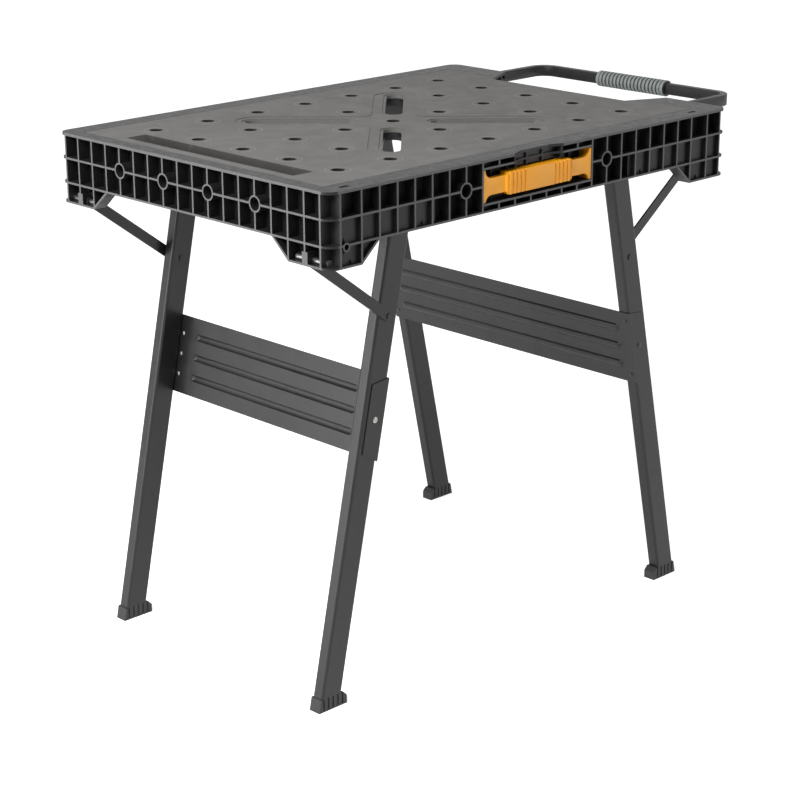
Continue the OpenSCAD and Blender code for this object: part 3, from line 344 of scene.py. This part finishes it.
def piece_of(name, built, body, finish):
    """A new object from a bmesh, which rides on a body."""
    mesh = bpy.data.meshes.new(name)
    built.to_mesh(mesh)
    built.free()
    mesh.materials.append(finish)
    made = placed(name, mesh)
    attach(made, body)


# The walls and sleeves are dressed black as painted shade in the slots and holes.
piece_of("slot_walls", slot_walls(), "top", rim_finish)
dress(["hole_sleeves"], rim_finish)

# Deck corners
# Eight small webs of the deck's skin between the round tips of the sunk cross and the
# straight edges beside them, moulded flush with the working surface.
ARM_END = 242 * MM
ARM_R = 34.5 * MM
TIP = (ARM_END - ARM_R) * math.cos(math.radians(45))
CORNER_Z = (776 * MM, 780 * MM)
CORNER_STEPS = 8


def deck_corners():
    """One web's plan, swapped and turned to its eight places and raised to a block."""
    edge = TIP + ARM_R
    outline = [(edge, edge - ARM_R * math.sqrt(2))]
    for step in range(CORNER_STEPS + 1):
        angle = math.radians(-45 * step / CORNER_STEPS)
        outline.append((TIP + ARM_R * math.cos(angle), TIP + ARM_R * math.sin(angle)))
    built = bmesh.new()
    for quarter in range(4):
        turn = Matrix.Rotation(math.radians(90 * quarter), 2)
        for swap in (False, True):
            plan = [turn @ Vector((y, x) if swap else (x, y)) for x, y in outline]
            low, high = [[built.verts.new((MID_X + v.x, v.y, z)) for v in plan]
                         for z in CORNER_Z]
            built.faces.new(low)
            built.faces.new(high)
            for k in range(len(plan)):
                built.faces.new((low[k - 1], low[k], high[k], high[k - 1]))
    bmesh.ops.recalc_face_normals(built, faces=built.faces)
    return built


piece_of("deck_corners", deck_corners(), "top", deck_finish)

# Web behind the carry handle
# The photograph shows the handle's window dark behind the grip. A thin black wall
# with upright ribs, just outside the lane in which the right legs fold, puts painted
# shade there.
CELL = HOLE_PITCH / 3
WEB_CELLS = (-4, 3)
WEB_Y = (-278.4 * MM, -277 * MM)
WEB_Z = (704 * MM, 771 * MM)
WEB_RIB_T = 2 * MM
WEB_RIB_Y = -283.5 * MM
WEB_RIB_Z = (WEB_Z[0] + 14 * MM, WEB_Z[1] - 10 * MM)


def block(built, low, high):
    """Adds a closed block between two corners to a bmesh."""
    made = bmesh.ops.create_cube(built, size=1)
    for vert in made["verts"]:
        vert.co = Vector([(a + b) / 2 + c * (b - a) for a, b, c in zip(low, high, vert.co)])


def handle_web():
    """The wall from its first cell line to its last, with a rib on each line between."""
    first, last = WEB_CELLS
    built = bmesh.new()
    block(built, (first * CELL, WEB_Y[0], WEB_Z[0]), (last * CELL, WEB_Y[1], WEB_Z[1]))
    for k in range(first + 1, last):
        block(built, (k * CELL - WEB_RIB_T / 2, WEB_RIB_Y, WEB_RIB_Z[0]),
              (k * CELL + WEB_RIB_T / 2, WEB_Y[1], WEB_RIB_Z[1]))
    return built


piece_of("handle_web", handle_web(), "top", rim_finish)

# Legs, struts and stretchers
# Rectangular steel tube, flat bar and pressed sheet with a dark grey powder coat,
# whose slight orange peel breaks up the reflections.
COATED = ("_leg", "_strut", "_stretcher", "_tracks", "_guides")


def powder_coat(name, low, high, roughness):
    """Satin paint over steel, with an orange peel of about 1 mm, drawn at 2 mm."""
    made, tree, shader = material(name, {"Roughness": roughness, "Specular IOR Level": 0.34})
    place = add(tree, "TexCoord", output="Object")
    base = cloudy_colour(tree, place, low, high, size_mm=60, detail=3)
    tree.links.new(base, shader.inputs["Base Color"])
    uneven_roughness(tree, place, roughness - 0.05, roughness + 0.06, size_mm=25, detail=4)
    fine_grain(tree, place, size_mm=2.0, strength=0.025, depth_mm=0.4)
    return made


coat = powder_coat("dark powder coat", "#191818", "#201f1f", 0.33)
dress([node for node in frame["nodes"] if node.endswith(COATED)], coat)

# Feet
# Black rubber caps with upright slots, pressed into the ends of the legs.
# The rubber is matt and a little dusty.


def rubber():
    """Black with brown-grey dust in patches, and a face that throws no highlight."""
    made, tree, shader = material("black rubber", {"Roughness": 0.62, "IOR": 1.52})
    place = add(tree, "TexCoord", output="Object")
    base = cloudy_colour(
        tree, place, "#11100f", "#1b1a19", size_mm=9, detail=4, edges=(0.45, 0.75))
    tree.links.new(base, shader.inputs["Base Color"])
    fine_grain(tree, place, size_mm=1.2, strength=0.15, depth_mm=0.3)
    return made


dress([node for node in frame["nodes"] if node.endswith("_foot")], rubber())

# Carry handle
# One injection moulding of yellow ABS with a satin face and rounded edges.
# Its flutes and its flared necks catch a highlight along each edge.
HANDLE_EDGE = 0.9 * MM
WELD = 0.005 * MM
FLAT_DEGREES = 0.5
SHARP_DEGREES = 32


def rounded(node, width, finish, segments):
    """A copy of a CAD node with its edges rounded."""
    mesh = frame["nodes"][node].data.copy()
    welded = bmesh.new()
    welded.from_mesh(mesh)
    bmesh.ops.remove_doubles(welded, verts=welded.verts, dist=WELD)
    bmesh.ops.dissolve_limit(
        welded, angle_limit=math.radians(FLAT_DEGREES), verts=welded.verts, edges=welded.edges)
    welded.to_mesh(mesh)
    welded.free()
    mesh.shade_smooth()
    bevel = stand_in(node, mesh, finish).modifiers.new("edges", "BEVEL")
    bevel.width = width
    bevel.segments = segments
    bevel.limit_method = "ANGLE"
    bevel.angle_limit = math.radians(SHARP_DEGREES)
    bevel.harden_normals = True
    bevel.miter_outer = "MITER_ARC"


def yellow_abs():
    """Warm yellow with a satin sheen that shows the flutes."""
    made, tree, shader = material("yellow ABS", {"Roughness": 0.4, "IOR": 1.5})
    place = add(tree, "TexCoord", output="Object")
    base = cloudy_colour(tree, place, "#ee9d00", "#f4a505", size_mm=25, detail=2)
    tree.links.new(base, shader.inputs["Base Color"])
    uneven_roughness(tree, place, 0.36, 0.46, size_mm=6, detail=3)
    return made


rounded("carry_handle", HANDLE_EDGE, yellow_abs(), 3)

# Bail
# A flat steel bar bent to a U and coated black, with a ribbed grey sleeve that
# is moulded from an elastomer and pushed over its middle.
BAR_EDGE = 1.2 * MM
SLEEVE_EDGE = 0.4 * MM
SLEEVE_X = 555 * MM
SLEEVE_Z = 765.5 * MM
GROOVE_R = 12.3 * MM
RING_FOOT = GROOVE_R + 0.1 * MM
RING_CREST = GROOVE_R + 0.9 * MM


def grey_sleeve():
    """Matt grey rings over grooves painted darker as painted shade."""
    made, tree, shader = material("grey elastomer", {"Roughness": 0.55, "IOR": 1.5})
    place = add(tree, "TexCoord", output="Object")
    # Painted shade: the grooves are painted dark, so the rings stand out pale against them.
    axes = add(tree, "SeparateXYZ", [place]).node.outputs
    reach = off_axis(tree, [
        add(tree, "Math", [axes[axis], middle], operation="SUBTRACT")
        for axis, middle in (("X", SLEEVE_X), ("Z", SLEEVE_Z))])
    lit_ring = add(tree, "MapRange", [reach, RING_FOOT, RING_CREST])
    pale = cloudy_colour(tree, place, "#6f7473", "#7f8483", size_mm=8, detail=3)
    base = add(tree, "Mix", {0: lit_ring, 6: linear("#2a2c2c"), 7: pale}, 2, data_type="RGBA")
    tree.links.new(base, shader.inputs["Base Color"])
    fine_grain(tree, place, size_mm=1.0, strength=0.12, depth_mm=0.3)
    return made


black_coat = powder_coat("black powder coat", "#101011", "#161617", 0.46)
dress(["bail_stops"], black_coat)
rounded("bail_bar", BAR_EDGE, black_coat, 3)
rounded("bail_grip", SLEEVE_EDGE, grey_sleeve(), 2)

# Rivets, pins and screws
# Pins, screws and the left stretcher's rivets are zinc plated steel, which gives a
# soft grey glint. The other rivets are coated with the legs.


def zinc():
    """Dull metal, mottled like plating that has been handled."""
    made, tree, shader = material("zinc plate", {"Roughness": 0.34, "Metallic": 1})
    place = add(tree, "TexCoord", output="Object")
    base = cloudy_colour(tree, place, "#83847f", "#a3a4a2", size_mm=3, detail=3)
    tree.links.new(base, shader.inputs["Base Color"])
    return made


zinc_finish = zinc()
dress([node for node in frame["nodes"] if node.endswith(("_pins", "_screws"))], zinc_finish)
dress(["left_stretcher_rivets"], zinc_finish)
dress(["right_stretcher_rivets", "left_strut_rivets", "right_strut_rivets"], coat)

# Floor and light
# A white floor that keeps the bench's soft shadow. Three soft boxes: one above the
# left end, one low at the left and one low at the front right.
FLOOR_HALF = 20.0
FLOOR_LIFT = 0.75
WORLD_FILL = 0.28


def floor_white():
    """White paper: lifted to full white for the camera and reflections."""
    made, tree, shader = material(
        "white paper", {"Base Color": linear("#f2f2f2"), "Roughness": 0.95})
    rays = add(tree, "LightPath").node.outputs
    seen = add(tree, "Math", [rays["Is Camera Ray"], rays["Is Glossy Ray"]], operation="MAXIMUM")
    lift = add(tree, "Math", [seen, FLOOR_LIFT], operation="MULTIPLY")
    glow = add(tree, "Emission", {"Strength": lift})
    both = add(tree, "AddShader", [shader.outputs[0], glow])
    tree.links.new(both, tree.nodes["Material Output"].inputs["Surface"])
    return made


floor_mesh = bpy.data.meshes.new("floor")
floor_mesh.from_pydata(
    [(x * FLOOR_HALF, y * FLOOR_HALF, 0) for x, y in ((-1, -1), (1, -1), (1, 1), (-1, 1))],
    [], [(0, 1, 2, 3)])
floor_mesh.materials.append(floor_white())
floor = placed("floor", floor_mesh)


def lamp(name, at, aim, size, watts):
    """A round soft box in metres, turned to the point that it is aimed at."""
    data = bpy.data.lights.new(name, "AREA")
    data.shape = "DISK"
    data.size = size
    data.energy = watts
    made = placed(name, data)
    made.location = at
    made.rotation_euler = (Vector(aim) - Vector(at)).to_track_quat("-Z", "Y").to_euler()


MIDDLE = (0, 0, 0.6)
lamp("above left", (-1.9, -0.35, 2.2), (-0.1, -0.1, 0.78), 1.5, 78)
lamp("left", (-3.6, 1.5, 0.8), MIDDLE, 2.2, 90)
lamp("front right", (2.6, -3.4, 0.9), MIDDLE, 2.2, 24)

world = bpy.data.worlds.new("studio")
bpy.context.scene.world = world
world.use_nodes = True
sky = world.node_tree
background = sky.nodes["Background"]
background.inputs["Color"].default_value = linear("#ffffff")
# The backdrop is pure white to the camera and in reflections, and only fills the
# shadows in the light that it gives.
rays = add(sky, "LightPath").node.outputs
seen = rays["Is Camera Ray"]
for kind in ("Is Glossy Ray", "Is Transmission Ray"):
    seen = add(sky, "Math", [seen, rays[kind]], operation="MAXIMUM")
sky.links.new(add(sky, "MapRange", [seen, 0, 1, WORLD_FILL, 1]), background.inputs["Strength"])
